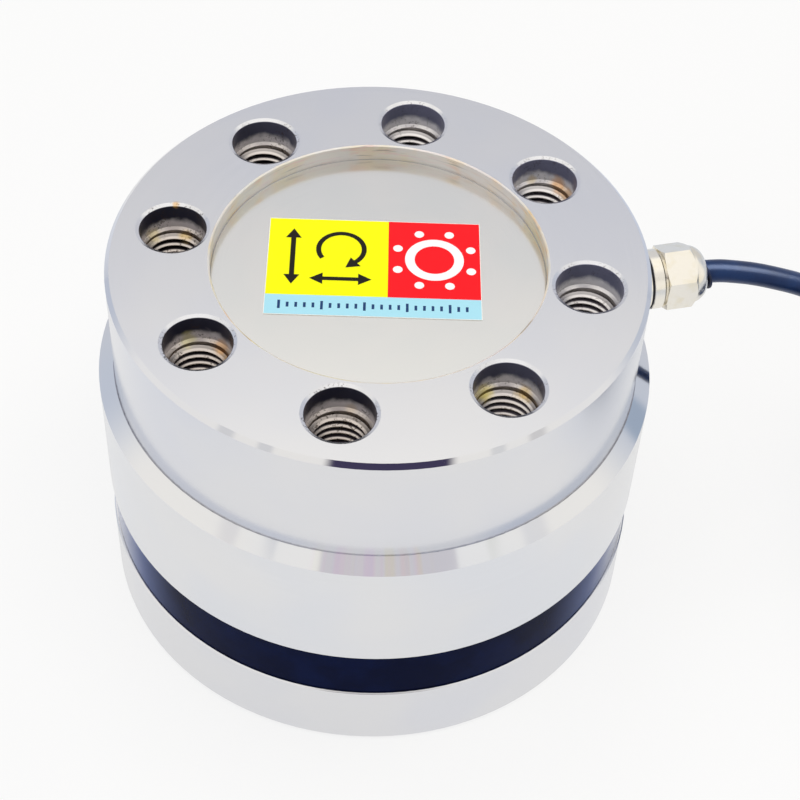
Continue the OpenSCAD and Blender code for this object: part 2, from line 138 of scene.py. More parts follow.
# the patterns of a material: its colour, its roughness, and the grain that lifts it by a depth in mm
def dress(tree, shader, tint, rough, grain=None, depth=0.0):
    tree.links.new(tint, shader.inputs["Base Color"])
    tree.links.new(rough, shader.inputs["Roughness"])
    if grain is not None:
        bump = addNode(tree, "Bump", {"Height": grain, "Distance": depth * mm})
        tree.links.new(bump, shader.inputs["Normal"])


def paint(obj, mat):
    obj.data.materials.clear()
    obj.data.materials.append(mat)


def newPiece(name, bm, smooth=True):
    mesh = bpy.data.meshes.new(name)
    bm.to_mesh(mesh)
    bm.free()
    mesh.polygons.foreach_set("use_smooth", [smooth] * len(mesh.polygons))
    piece = bpy.data.objects.new(name, mesh)
    scene.collection.objects.link(piece)
    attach(piece, "root")
    return piece


# where the camera stands and how it is turned
cameraSet = {
    "place": (-73.25, -289.90, 384.08),  # mm, in the frame's own axes
    "turn": (41.766, -2.086, -13.065),  # degrees
    "lens": 82.88,
}
cameraData = bpy.data.cameras.new("camera")
cameraData.lens = cameraSet["lens"]
cameraData.sensor_width = 36
cameraData.clip_start = 0.01
camera = bpy.data.objects.new("camera", cameraData)
camera.location = Vector(cameraSet["place"]) * mm
camera.rotation_euler = [math.radians(a) for a in cameraSet["turn"]]
scene.collection.objects.link(camera)
scene.camera = camera

# the cable: a free stretch from the gland, then the spare length in a coil
cableSet = {
    "diameter": 5.6,
    "length": 3.0,  # metres, what these sensors usually have
    # from the gland's mouth to the coil, in the plane y = 0
    "route": [
        (79.5, 0, 78.1), (83, 0, 77.8), (86.5, 0, 77.1), (93.5, 0, 74.9),
        (100.5, 0, 71.9), (107.5, 0, 68.4), (116, 0, 63), (123, 0, 56.5),
        (129.5, 0, 48.5), (134.5, 0, 39.5), (138.5, 0, 29.5), (142.5, 0, 19.5),
        (147, 0, 12.5), (153, 0, 7), (160, 0, 3.9), (168, 0, 2.8),
    ],
    "coilMid": 63.7,  # mid-turn diameter of the coil
    "pitch": 5.7,
    "turns": 3.5,  # in each layer
    "layers": 4,
    "stepsPerTurn": 96,
    "climb": 50,  # degrees over which the cable climbs to the next layer
    "tail": 110,  # degrees that it runs on top before its end
    "endSleeve": 3.3,  # radius of the sleeve that lifts the end
    "tie": 200,  # where the strap holds the bundle, in degrees
    "tieLift": 1.1,  # thickness of the strap under the turns
    "tieReach": 28,
    "sides": 7,
}


def easeInOut(x):
    x = min(max(x, 0.0), 1.0)
    return x * x * (3 - 2 * x)


# a smooth line through the route's points
def smoothLine(points, perSpan):
    pts = [Vector(p) for p in points]
    pts = [2 * pts[0] - pts[1], *pts, 2 * pts[-1] - pts[-2]]
    pts[0] = pts[1] - Vector((3, 0, 0))
    pts[-1] = pts[-2] + Vector((8, 0, 0))
    line = []
    for i in range(1, len(pts) - 2):
        p0, p1, p2, p3 = pts[i - 1:i + 3]
        for k in range(perSpan):
            t = k / perSpan
            line.append(0.5 * (2 * p1 + (p2 - p0) * t + (2 * p0 - 5 * p1 + 4 * p2 - p3) * t * t
                               + (3 * p1 - p0 - 3 * p2 + p3) * t ** 3))
    return line


# turns of the coil: each layer is a flat spiral, and the next one lies on it
def coilLine():
    s = cableSet
    d = s["diameter"]
    half = s["pitch"] * s["turns"] / 2
    centre = Vector((s["route"][-1][0], -(s["coilMid"] / 2 + half), 0))
    layerSteps = int(s["turns"] * s["stepsPerTurn"])
    line = []
    for k in range(s["layers"] * layerSteps):
        layer, step = divmod(k, layerSteps)
        run = step / layerSteps
        inward = run if layer % 2 == 0 else 1 - run
        r = s["coilMid"] / 2 + half - 2 * half * inward
        degrees = 90 - 360 * k / s["stepsPerTurn"]
        z = d / 2 + d * layer
        if layer:
            z -= d * (1 - easeInOut(360 * step / s["stepsPerTurn"] / s["climb"]))
        line.append((r, degrees, z))
    topLayer = d / 2 + d * (s["layers"] - 1)
    height = s["layers"] * d
    endZ = height + s["endSleeve"]
    tailSteps = 36
    for k in range(tailSteps + 1):
        a = s["tail"] * k / tailSteps
        r = s["coilMid"] / 2 + half * (1 - easeInOut((a - 20) / (s["tail"] - 20)))
        z = topLayer + (endZ - topLayer) * easeInOut(a / s["climb"])
        line.append((r, 90 - a, z))
    # the strap lifts the turns a little and presses them together
    out = []
    for r, degrees, z in line:
        away = abs((degrees - s["tie"] + 180) % 360 - 180)
        grip = 1 - easeInOut(away / s["tieReach"])
        if z < height:
            z += grip * s["tieLift"] * (1 - z / height)
        a = math.radians(degrees)
        out.append(centre + Vector((r * math.cos(a), r * math.sin(a), z)))
    return out


# a round tube along a line of points; its radius sits in the points, so that its bounds are true
def tube(name, line, radius, sides):
    curve = bpy.data.curves.new(name + "Line", "CURVE")
    curve.dimensions = "3D"
    curve.bevel_depth = 1.0
    curve.bevel_resolution = sides
    curve.use_fill_caps = True
    spline = curve.splines.new("POLY")
    spline.points.add(len(line) - 1)
    for point, p in zip(spline.points, line):
        point.co = (*p, 1)
        point.radius = radius
    spline.use_smooth = True
    piece = bpy.data.objects.new(name, curve)
    scene.collection.objects.link(piece)
    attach(piece, "root")
    return piece


def makeCable():
    line = [p * mm for p in smoothLine(cableSet["route"], 6) + coilLine()]
    cable = tube("cable", line, cableSet["diameter"] / 2 * mm, cableSet["sides"])
    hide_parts("sensor_cable", "cable_coil")
    return cable, line


cable, cableLine = makeCable()
cableLength = sum((b - a).length for a, b in zip(cableLine, cableLine[1:]))
print("cable laid:", round(cableLength, 4), "m")


# what the room holds: white all round, a dimmer side behind the object, dark stands on the camera's side
roomSet = {
    "away": (0.265, 0.964, 0),  # level direction from the camera to the object
    "across": (0.964, -0.265, 0),
    "bright": "fcfaf6",
    "dim": "d7d8de",
    "dimSide": "ced4e0",  # and towards both sides
    "sideFrom": (0.55, 0.85),
    "dimAway": (0.03, 0.45),  # how the far side goes from bright to dim
    "dimBelow": (0.76, 0.66),  # height at which it does
    "zenith": 1.16,  # how bright the ceiling is in mirrors
    "zenithFrom": (0.86, 0.95),  # height at which it starts
    "zenithBehind": (0.71, 0.80),  # and on the far side
    "fill": (0.42, 0.42, 0.42, 1),  # what matt surfaces get from all round
    "floorRadius": 3.0,
    "floorZ": -0.0002,  # just under the object
    "floorColour": "f4f4f3",
    "floorGlow": 0.75,  # share of the floor that glows, so that it shows white
    "floorMirror": 0.90,  # how bright the floor is in mirrors
    "floorLeft": "eff4ff",  # and its tint there on both sides
    "floorRight": "d8e1f2",
    "leftFrom": (-0.09, -0.19),  # metres sideways, from white to the tint
    "rightFrom": (0.085, 0.18),
    # stands and gaps between lamps: side (near is -1), from and to across, from and to in height,
    # soft edge sideways and in height, colour
    "blocks": [
        (-1, -0.245, 0.465, 0.54, 0.735, 0.07, 0.02, "453f5c"),
        (-1, -0.215, 0.42, 0.745, 0.88, 0.02, 0.015, "dad6da"),
        (-1, -0.75, -0.655, 0.47, 0.60, 0.03, 0.03, "e3e3e4"),
        (-1, -0.575, -0.475, 0.53, 0.64, 0.03, 0.03, "e3e3e4"),
        (-1, 0.595, 0.685, 0.50, 0.60, 0.03, 0.03, "e6e6e6"),
        (-1, 0.75, 0.835, 0.43, 0.54, 0.03, 0.03, "dfdddc"),
        (-1, -0.665, -0.55, 0.68, 0.78, 0.03, 0.02, "edebeb"),
        (-1, -0.475, -0.395, 0.745, 0.83, 0.02, 0.02, "e2e2e4"),
        (-1, 0.53, 0.60, 0.71, 0.79, 0.02, 0.02, "efeee8"),
        (-1, 0.655, 0.76, 0.61, 0.735, 0.03, 0.02, "edecec"),
        (1, 0.79, 0.90, 0.19, 0.34, 0.03, 0.04, "a6b4c8"),
    ],
}


# what a mirror shows, as against what lights the object or what the camera sees
def lightPath(tree):
    rays = addNode(tree, "LightPath").node.outputs
    mirrors = (rays["Is Glossy Ray"], rays["Is Transmission Ray"])
    return rays["Is Camera Ray"], addNode(tree, "Math", mirrors, operation="ADD", use_clamp=True)


def buildWorld():
    s = roomSet
    world = bpy.data.worlds.new("studio")
    scene.world = world
    world.use_nodes = True
    tree = world.node_tree
    tree.nodes.clear()
    way = addNode(tree, "TexCoord", output="Generated")
    height = addNode(tree, "SeparateXYZ", (way,), "Z")
    away = addNode(tree, "VectorMath", (way, s["away"]), operation="DOT_PRODUCT")
    across = addNode(tree, "VectorMath", (way, s["across"]), operation="DOT_PRODUCT")
    sideways = addNode(tree, "Math", (across,), operation="ABSOLUTE")
    dim = addNode(tree, "Mix", (zone(tree, (sideways, *s["sideFrom"])), s["dim"], s["dimSide"]), **inColour)
    farSide = zone(tree, (away, *s["dimAway"]), (height, *s["dimBelow"]))
    mirrored = addNode(tree, "Mix", (farSide, s["bright"], dim), **inColour)
    for side, left, right, low, high, soft, edge, tint in s["blocks"]:
        block = zone(tree, (away, 0.05 * side, 0.1 * side),
                     (across, left, left + soft), (across, right, right - soft),
                     (height, low, low + edge), (height, high, high - edge))
        mirrored = addNode(tree, "Mix", (block, mirrored, tint), **inColour)
    above = zone(tree, (height, *s["zenithFrom"]))
    behind = zone(tree, (away, 0.0, 0.3), (height, *s["zenithBehind"]))
    above = addNode(tree, "Math", (above, behind), operation="MAXIMUM")
    above = addNode(tree, "MapRange", (above, 0, 1, 1.0, s["zenith"]))
    mirrored = addNode(tree, "VectorMath", (mirrored, above), operation="SCALE")
    fromCamera, inMirror = lightPath(tree)
    light = addNode(tree, "Mix", (inMirror, s["fill"], mirrored), **inColour)
    seen = addNode(tree, "Mix", (fromCamera, light, "ffffff"), **inColour)
    addNode(tree, "OutputWorld", (addNode(tree, "Background", (seen,)),))


def buildFloor():
    s = roomSet
    bm = bmesh.new()
    bmesh.ops.create_circle(bm, cap_ends=True, segments=96, radius=s["floorRadius"])
    mesh = bpy.data.meshes.new("floor")
    bm.to_mesh(mesh)
    bm.free()
    floor = bpy.data.objects.new("floor", mesh)
    floor.location.z = s["floorZ"]
    scene.collection.objects.link(floor)
    floor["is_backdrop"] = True
    mat = bpy.data.materials.new("white paper, matt")
    mat.use_nodes = True
    tree = mat.node_tree
    tree.nodes.clear()
    matt = addNode(tree, "BsdfDiffuse", (s["floorColour"],))
    white = addNode(tree, "Emission", ("ffffff", 1.0))
    sideways = addNode(tree, "SeparateXYZ", (addNode(tree, "TexCoord", output="Object"),), "X")
    tint = "ffffff"
    for start, side in (("leftFrom", "floorLeft"), ("rightFrom", "floorRight")):
        tint = addNode(tree, "Mix", (zone(tree, (sideways, *s[start])), tint, s[side]), **inColour)
    mirror = addNode(tree, "Emission", (tint, s["floorMirror"]))
    seen = addNode(tree, "MixShader", (s["floorGlow"], matt, white))
    mirrored = addNode(tree, "MixShader", (s["floorGlow"], matt, mirror))
    fromCamera, inMirror = lightPath(tree)
    other = addNode(tree, "MixShader", (inMirror, matt, mirrored))
    addNode(tree, "OutputMaterial", (addNode(tree, "MixShader", (fromCamera, other, seen)),))
    paint(floor, mat)


# lamps: place, aim and size in metres, power in watts, colour
lampSet = {
    "overhead softbox": ((0.05, 0.02, 1.40), (0, 0, 0.06), (1.5, 0.75), 10.5, "fffdfa"),
    "left window": ((-1.30, -0.45, 0.90), (0, 0, 0.06), (0.9, 0.9), 4.0, "f3f6ff"),
    "right window": ((1.30, 0.10, 0.95), (0, 0, 0.06), (0.8, 0.8), 3.0, "fff6ea"),
    "cable light": ((0.66, -0.10, 0.88), (0.10, 0, 0.06), (0.7, 1.1), 20.0, "fff8d6"),
}


def hangLamps():
    lamps = {}
    for name, (place, aim, size, power, tint) in lampSet.items():
        data = bpy.data.lights.new(name, "AREA")
        data.shape = "RECTANGLE"
        data.size, data.size_y = size
        data.energy = power
        data.color = colour(tint)[:3]
        lamp = bpy.data.objects.new(name, data)
        lamp.location = place
        lamp.rotation_euler = (Vector(aim) - Vector(place)).to_track_quat("-Z", "Y").to_euler()
        lamp.visible_glossy = False
        scene.collection.objects.link(lamp)
        lamps[name] = lamp
    # this one only draws a highlight along the cable
    only = bpy.data.collections.new("lit by the cable light")
    only.objects.link(cable)
    lamps["cable light"].light_linking.receiver_collection = only
    lamps["cable light"].visible_glossy = True
    lamps["cable light"].visible_diffuse = False


buildWorld()
buildFloor()
hangLamps()
scene.view_settings.view_transform = "Standard"
print("room built")


# marks that a lathe tool leaves: rings round the upright axis, which drift on the way round
def latheMarks(tree, ringWidth, drift=2.0):
    place = addNode(tree, "TexCoord", output="Object")
    x, y, height = addNode(tree, "SeparateXYZ", (place,)).node.outputs
    level = addNode(tree, "CombineXYZ", (x, y))
    radius = addNode(tree, "VectorMath", (level,), operation="LENGTH")
    way = addNode(tree, "VectorMath", (level,), operation="NORMALIZE")
    round2 = addNode(tree, "VectorMath", (way, drift), operation="SCALE")
    rings = addNode(tree, "Math", (radius, height), operation="ADD")
    rings = addNode(tree, "Math", (rings, 1 / (ringWidth * mm)), **times)
    where = addNode(tree, "VectorMath", (round2, addNode(tree, "CombineXYZ", {"Z": rings})), operation="ADD")
    marks = addNode(tree, "TexNoise", (where, 1.0, 3.0))
    return {"place": place, "x": x, "y": y, "height": height, "radius": radius, "way": way, "marks": marks}


# two close shades in wide patches, and each ring a little lighter or darker than the next
def turnedTint(tree, lathe, width, shades):
    tint = addNode(tree, "Mix", (patches(tree, lathe["place"], width), *shades), **inColour)
    strength = addNode(tree, "MapRange", (lathe["marks"], 0, 1, 0.985, 1.015))
    return addNode(tree, "VectorMath", (tint, strength), operation="SCALE")


# the body: alloy steel, turned, ground on its faces and nickel plated; satin, with fine rings,
# sharper on the turned chamfer, with painted shade and painted light in the bores and specks of cutting oil
# in and round them
steelSet = {
    "shades": ("e6e6e8", "e2e3e8"),
    "ringWidth": 0.55,  # mm, coarser than the real feed so that it shows
    "patchWidth": 38,
    "roughness": (0.17, 0.23),
    "chamferRoughness": 0.045,
    "boreRoughness": 0.3,
    "wallRoughness": 0.4,
    "oilRoughness": 0.5,
    "holes": 8,
    "pitchRadius": 47.5,
    "holeTurn": 22.5,  # first hole, in degrees from the gland
    "boreEdge": (7.75, 7.62),  # mm from a hole's axis, where its wall starts
    "wallEdge": (0.3, 0.1),  # mm inside the recess's wall, and a little more outside it
    "chamferEdge": (1.1, 0.98),  # mm below the face and inside the rim
    "glandSideFrom": (-0.030, 0.048),  # metres towards the gland, from the darkest colours to the lightest
    # colours on the side away from the gland and on the gland's side
    "boreTopPaintedShade": ("1f2136", "70728a"),  # painted shade high in the bores
    "boreFootPaintedLight": ("ece4e4", "fbf9fb"),  # painted light low in them
    "footFrom": (4.8, 7.0),  # mm of depth at which the painted shade gives way to the painted light
    "ragged": 2.6,  # how far its edge wanders
    "filmTo": (7.6, 6.2),  # and where the bore is matt
    "filmMetallic": 0.2,
    "threadCrest": ("e2d8d0", "f4f0ee"),
    "threadRootPaintedShade": ("2a252a", "57525a"),
    "threadFrom": (6.2, 6.8),
    "rootShadeFrom": (6.8, 10.5),  # depth at which painted shade darkens the roots
    "rootReach": (6.55, 6.8),  # mm from the axis
    "oilSpecks": "3a2c1f",
    "speckSize": 0.55,
    "speckAmount": (0.55, 0.61),
    "speckReach": (8.7, 7.9),  # mm from a hole's axis
    "speckShare": 0.7,
    "wallTint": ("e4dcc0", "eee0cc"),  # dried coolant in the recess
    "wallStreak": ("e6c07c", "ecccc4"),
    "wallScratch": "8a8175",
    "stainEdge": (1.45, 0.7),  # of a stain's size, from clean to stained
    "stainShare": 0.6,
    # stains: hole (degrees), place round its rim (degrees), distance from its axis, depth, size (mm), colour
    "stains": [
        (157.5, 78, 8.1, 0.25, 1.2, "e8b04a"),
        (157.5, 125, 7.2, 7.2, 3.0, "ead79a"),
        (157.5, 60, 7.2, 8.8, 2.6, "f0cf8a"),
        (22.5, 42, 7.3, 6.9, 3.2, "f2a932"),
        (22.5, 18, 7.2, 7.6, 3.0, "f0b356"),
        (22.5, 95, 7.3, 6.2, 1.8, "ead2a0"),
        (-67.5, 118, 7.1, 7.6, 3.4, "f0da52"),
        (-67.5, 155, 7.1, 7.8, 3.0, "ecd24a"),
        (-67.5, 40, 7.2, 7.9, 2.8, "e6c062"),
        (-157.5, 100, 7.3, 6.4, 3.0, "eadf9c"),
        (-157.5, 38, 7.2, 7.6, 3.2, "f3b565"),
        (-157.5, 12, 7.2, 8.4, 2.6, "f0bb74"),
        (-112.5, 60, 7.3, 6.3, 2.0, "e6d3bd"),
    ],
}


# how far a place is from the axis of the nearest bolt hole
def holeDistance(tree, lathe):
    s = steelSet
    half = math.pi / s["holes"]
    angle = addNode(tree, "Math", (lathe["y"], lathe["x"]), operation="ARCTAN2")
    angle = addNode(tree, "Math", (angle, math.radians(s["holeTurn"])), operation="SUBTRACT")
    near = addNode(tree, "Math", (angle, half, -half), operation="WRAP")
    flat = [addNode(tree, "Math", (lathe["radius"], addNode(tree, "Math", (near,), operation=part)), **times)
            for part in ("COSINE", "SINE")]
    axis = (s["pitchRadius"] * mm, 0, 0)
    return addNode(tree, "VectorMath", (addNode(tree, "CombineXYZ", flat), axis), operation="DISTANCE")


# the film on the recess wall: dried coolant in level streaks, with scratches
def wallFilm(tree, place):
    s = steelSet
    tint = addNode(tree, "Mix", (patches(tree, place, 16), *s["wallTint"]), **inColour)
    streak = addNode(tree, "Mix", (patches(tree, place, 22), *s["wallStreak"]), **inColour)
    # how far they are drawn out, their height in mm, where they start and end, how strong, colour
    for drawn, size, low, high, share, over in ((0.12, 0.9, 0.5, 0.64, 0.85, streak),
                                                (0.05, 0.5, 0.6, 0.68, 0.6, s["wallScratch"])):
        level = addNode(tree, "VectorMath", (place, (drawn, drawn, 1.0)), **times)
        lines = addNode(tree, "TexNoise", (level, 1 / (size * mm), 2.0))
        tint = addNode(tree, "Mix", (zone(tree, (lines, low, high), share), tint, over), **inColour)
    return tint


# the colour in the bores: painted shade at the top and painted light lower down, towards the thread, whose
# crests are bright, with painted shade in its roots that darkens deeper down
def borePaintedShadeAndLight(tree, depth, away, glandSide, cloud):
    s = steelSet
    # these shades are painted shade and painted light: dark at the top, light lower down, dark in the
    # thread's roots
    film = {part: addNode(tree, "Mix", (glandSide, *s[part]), **inColour)
            for part in ("boreTopPaintedShade", "boreFootPaintedLight", "threadCrest", "threadRootPaintedShade")}
    ragged = addNode(tree, "Math", (cloud, s["ragged"] * mm, depth), operation="MULTIPLY_ADD")
    low = zone(tree, (ragged, *inMm(s["footFrom"])))
    bore = addNode(tree, "Mix", (low, film["boreTopPaintedShade"], film["boreFootPaintedLight"]), **inColour)
    outward = addNode(tree, "Math", (depth, 0.03, away), operation="MULTIPLY_ADD")
    rootShade = zone(tree, (outward, *inMm(s["rootReach"])), (depth, *inMm(s["rootShadeFrom"])))
    thread = addNode(tree, "Mix", (rootShade, film["threadCrest"], film["threadRootPaintedShade"]), **inColour)
    return addNode(tree, "Mix", (zone(tree, (depth, *inMm(s["threadFrom"]))), bore, thread), **inColour)


# rust and coolant stains round the holes
def addStains(tree, tint, place, cloud):
    s = steelSet
    r = s["pitchRadius"]
    for hole, turn, reach, down, size, stain in s["stains"]:
        a, b = math.radians(hole), math.radians(turn)
        centre = ((r * math.cos(a) + reach * math.cos(b)) * mm, (r * math.sin(a) + reach * math.sin(b)) * mm,
                  topZ - down * mm)
        gap = addNode(tree, "VectorMath", (place, centre), operation="DISTANCE")
        gap = addNode(tree, "Math", (cloud, size * mm, gap), operation="MULTIPLY_ADD")
        blot = zone(tree, (gap, *[k * size * mm for k in s["stainEdge"]]), s["stainShare"])
        tint = addNode(tree, "Mix", (blot, tint, stain), **inColour)
    return tint


def turnedSteel():
    s = steelSet
    mat, tree, shader = newMaterial("alloy steel, turned and nickel plated", s["shades"][0], 0.2, 1.0)
    lathe = latheMarks(tree, s["ringWidth"])
    place, height, radius, marks = (lathe[key] for key in ("place", "height", "radius", "marks"))
    depth = addNode(tree, "Math", (topZ, height), operation="SUBTRACT")
    away = holeDistance(tree, lathe)
    # the places that differ: the recess wall above the plate, the bores, the chamfer, the oil's specks
    low, high = inMm(s["wallEdge"])
    inWall = zone(tree, (radius, recessR - low, recessR - high),
                  (radius, recessR + 0.5 * mm, recessR + 0.3 * mm), (height, plateTop - 0.2 * mm, plateTop))
    inBore = zone(tree, (away, *inMm(s["boreEdge"])))
    low, high = inMm(s["chamferEdge"])
    onChamfer = zone(tree, (radius, headR - low, headR - high), (height, topZ - low, topZ - high))
    side = addNode(tree, "VectorMath", (place, (1.0, 0.35, 0)), operation="DOT_PRODUCT")
    # towards the gland the bores' painted shade and painted light are lighter, and the oil specks fewer
    glandSide = zone(tree, (side, *s["glandSideFrom"]))
    specks = addNode(tree, "TexNoise", (place, 1 / (s["speckSize"] * mm), 3.0))
    oily = zone(tree, (specks, *s["speckAmount"]), patches(tree, place, 5.0, 2.0, 0.42, 0.62),
                addNode(tree, "MapRange", (glandSide, 0, 1, 1.0, 0.5)), (away, *inMm(s["speckReach"])))
    # colours
    tint = turnedTint(tree, lathe, s["patchWidth"], s["shades"])
    dried = addNode(tree, "MapRange", (patches(tree, place, 9, 3.0, 0.38, 0.6), 0, 1, 0.3, 1.0))
    tint = addNode(tree, "Mix", (zone(tree, inWall, dried), tint, wallFilm(tree, place)), **inColour)
    cloud = addNode(tree, "TexNoise", (place, 1 / (2.2 * mm), 4.0))
    # painted shade and painted light in the bores
    tint = addNode(tree, "Mix", (inBore, tint, borePaintedShadeAndLight(tree, depth, away, glandSide, cloud)), **inColour)
    tint = addNode(tree, "Mix", (zone(tree, oily, s["speckShare"]), tint, s["oilSpecks"]), **inColour)
    tint = addStains(tree, tint, place, cloud)
    rough = addNode(tree, "MapRange", (marks, 0, 1, *s["roughness"]))
    for where, value in ((onChamfer, s["chamferRoughness"]), (inBore, s["boreRoughness"]),
                         (inWall, s["wallRoughness"]), (oily, s["oilRoughness"])):
        rough = addNode(tree, "Mix", (where, rough, value))
    dress(tree, shader, tint, rough, marks, 0.002)
    # the upper bores and the dried film on the recess wall are matt
    filmed = zone(tree, inBore, (depth, *inMm(s["filmTo"])))
    filmed = addNode(tree, "Math", (filmed, zone(tree, inWall, 0.8)), operation="MAXIMUM")
    metal = addNode(tree, "MapRange", (filmed, 0, 1, 1.0, s["filmMetallic"]))
    tree.links.new(metal, shader.inputs["Metallic"])
    return mat


# the sleeve: the same plating over a finer turned surface; its bevel is polished, and on the side of
# the label's foot a thin oxide shows in upright streaks
sleeveSet = {
    "shades": ("e9e9ea", "e4e6eb"),
    "ringWidth": 0.8,
    "roughness": (0.15, 0.20),
    "bevel": (2.65, 2.55),  # below the top edge
    "bevelRoughness": 0.07,
    "streaks": ("ebe6cc", "ddd6ef", "ebdce8"),
    "streakCount": 150,  # round the whole bevel
    "streakSide": -103.0,  # degrees, the middle of the streaked part
    "streakReach": (13, 10),  # and its half width
}


def sleeveSteel():
    s = sleeveSet
    name = "alloy steel, fine turned and nickel plated"
    mat, tree, shader = newMaterial(name, s["shades"][0], 0.18, 1.0)
    lathe = latheMarks(tree, s["ringWidth"])
    tint = turnedTint(tree, lathe, 45, s["shades"])
    onBevel = zone(tree, (lathe["height"], *[sleeveTop - z * mm for z in s["bevel"]]))
    turn = math.radians(s["streakSide"])
    middle = (math.cos(turn), math.sin(turn), 0)
    facing = addNode(tree, "VectorMath", (lathe["way"], middle), operation="DOT_PRODUCT")
    streaked = zone(tree, (facing, *[math.cos(math.radians(a)) for a in s["streakReach"]]), onBevel)
    around = addNode(tree, "VectorMath", (lathe["way"], s["streakCount"] / math.tau), operation="SCALE")
    for i, streak in enumerate(s["streaks"]):
        moved = addNode(tree, "VectorMath", (around, (0, 0, 5.3 * i)))
        bands = addNode(tree, "TexNoise", (moved, 1.0, 1.0))
        tint = addNode(tree, "Mix", (zone(tree, (bands, 0.5, 0.66), streaked, 0.5), tint, streak), **inColour)
    rough = addNode(tree, "MapRange", (lathe["marks"], 0, 1, *s["roughness"]))
    rough = addNode(tree, "Mix", (onBevel, rough, s["bevelRoughness"]))
    dress(tree, shader, tint, rough, lathe["marks"], 0.003)
    return mat


# the cover plates: stainless sheet with a fine satin face, warmer than the plating
def coverSteel():
    shades = ("edebe7", "e9e9e6")
    mat, tree, shader = newMaterial("stainless steel, satin turned", shades[0], 0.18, 1.0)
    lathe = latheMarks(tree, 0.45, 3.0)
    rough = addNode(tree, "MapRange", (lathe["marks"], 0, 1, 0.15, 0.21))
    dress(tree, shader, turnedTint(tree, lathe, 26, shades), rough, lathe["marks"], 0.003)
    return mat


# the soft ring: silicone rubber, moulded dark blue-black, smooth, with a painted sheen: its colour turns pale
# where it is seen edge-on
def siliconeRubber():
    mat, tree, shader = newMaterial("silicone rubber, moulded dark blue", "02102e", 0.2, IOR=1.09)
    place = addNode(tree, "TexCoord", output="Object")
    tint = addNode(tree, "Mix", (patches(tree, place, 12, 3.0), "000a2e", "02123c"), **inColour)
    paintedSheenFacing = addNode(tree, "LayerWeight", (0.5,), "Facing")
    # painted sheen: pale colours mixed into the base colour edge-on
    for start, end, paintedSheenTint in ((0.63, 0.84, "52649a"), (0.75, 0.97, "c9cddc")):
        tint = addNode(tree, "Mix", (zone(tree, (paintedSheenFacing, start, end)), tint, paintedSheenTint), **inColour)
    fine = addNode(tree, "TexNoise", (place, 1 / (0.8 * mm), 3.0))
    dress(tree, shader, tint, addNode(tree, "MapRange", (fine, 0, 1, 0.15, 0.27)), fine, 0.004)
    return mat


# O-rings, seals and lips: nitrile rubber with a dull bloom
def nitrileRubber(name, dark, pale):
    mat, tree, shader = newMaterial(name, dark, 0.45, IOR=1.45)
    place = addNode(tree, "TexCoord", output="Object")
    tint = addNode(tree, "Mix", (patches(tree, place, 2.5, 3.0), dark, pale), **inColour)
    fine = addNode(tree, "TexNoise", (place, 1 / (0.3 * mm), 2.0))
    dress(tree, shader, tint, addNode(tree, "MapRange", (fine, 0, 1, 0.38, 0.52)), fine, 0.01)
    return mat


# the label: printed film with a clear coat, three fields of ink with crisp edges
labelSet = {
    "centre": (-1, 0.7),  # mm
    "turn": -13.5,  # degrees
    "size": (48.4, 31.0),
    "split": 3.2,  # where yellow meets red, from the centre
    "strip": 6.2,  # height of the pale blue strip
    "yellow": "fdfd02",
    "red": "fd1420",
    "blue": "aee5f5",
    "paper": "fbfbf4",
    "border": 0.12,
}


def printedFilm():
    s = labelSet
    name = "polyester film, printed and coated"
    mat, tree, shader = newMaterial(name, s["yellow"], 0.32, Specular_IOR_Level=0.2)
    place = addNode(tree, "TexCoord", output="Object")
    centre = (s["centre"][0] * mm, s["centre"][1] * mm, 0)
    own = addNode(tree, "Mapping", {"Vector": place, "Location": centre,
                                    "Rotation": (0, 0, math.radians(s["turn"]))}, vector_type="TEXTURE")
    x, y = addNode(tree, "SeparateXYZ", (own,)).node.outputs[:2]
    halfW, halfH = s["size"][0] / 2, s["size"][1] / 2
    isRed = addNode(tree, "Math", (x, s["split"] * mm), operation="GREATER_THAN")
    isStrip = addNode(tree, "Math", (y, (s["strip"] - halfH) * mm), operation="LESS_THAN")
    ink = addNode(tree, "Mix", (isRed, s["yellow"], s["red"]), **inColour)
    ink = addNode(tree, "Mix", (isStrip, ink, s["blue"]), **inColour)
    # the bare edge of the film
    edges = []
    for socket, half in ((x, halfW), (y, halfH)):
        far = addNode(tree, "Math", (socket,), operation="ABSOLUTE")
        edges.append(addNode(tree, "Math", (far, (half - s["border"]) * mm), operation="GREATER_THAN"))
    bare = addNode(tree, "Math", edges, operation="MAXIMUM")
    ink = addNode(tree, "Mix", (bare, ink, s["paper"]), **inColour)
    uneven = addNode(tree, "TexNoise", (place, 1 / (1.2 * mm), 4.0))
    strength = addNode(tree, "MapRange", (uneven, 0, 1, 0.985, 1.015))
    ink = addNode(tree, "VectorMath", (ink, strength), operation="SCALE")
    dress(tree, shader, ink, addNode(tree, "MapRange", (uneven, 0, 1, 0.28, 0.38)), uneven, 0.003)
    return mat


# the gland: brass under bright nickel, which the brass warms where the plating is thin
def nickelBrass():
    mat, tree, shader = newMaterial("brass, nickel plated", "ece6da", 0.22, 1.0)
    place = addNode(tree, "TexCoord", output="Object")
    thin = zone(tree, patches(tree, place, 3.2, 3.0, 0.45, 0.7), 0.4)
    fine = addNode(tree, "TexNoise", (place, 1 / (0.35 * mm), 2.0))
    dress(tree, shader, addNode(tree, "Mix", (thin, "f6f1e6", "eadfbf"), **inColour),
          addNode(tree, "MapRange", (fine, 0, 1, 0.17, 0.27)), fine, 0.0015)
    return mat


# nylon: moulded black, finely pebbled
def mouldedNylon():
    mat, tree, shader = newMaterial("nylon, moulded black", "141519", 0.42, IOR=1.5)
    place = addNode(tree, "TexCoord", output="Object")
    pebbles = addNode(tree, "TexVoronoi", {"Vector": place, "Scale": 1 / (0.35 * mm)})
    dress(tree, shader, addNode(tree, "Mix", (patches(tree, place, 4.0), "101115", "1c1d22"), **inColour),
          addNode(tree, "MapRange", (pebbles, 0, 1, 0.36, 0.5)), pebbles, 0.008)
    return mat


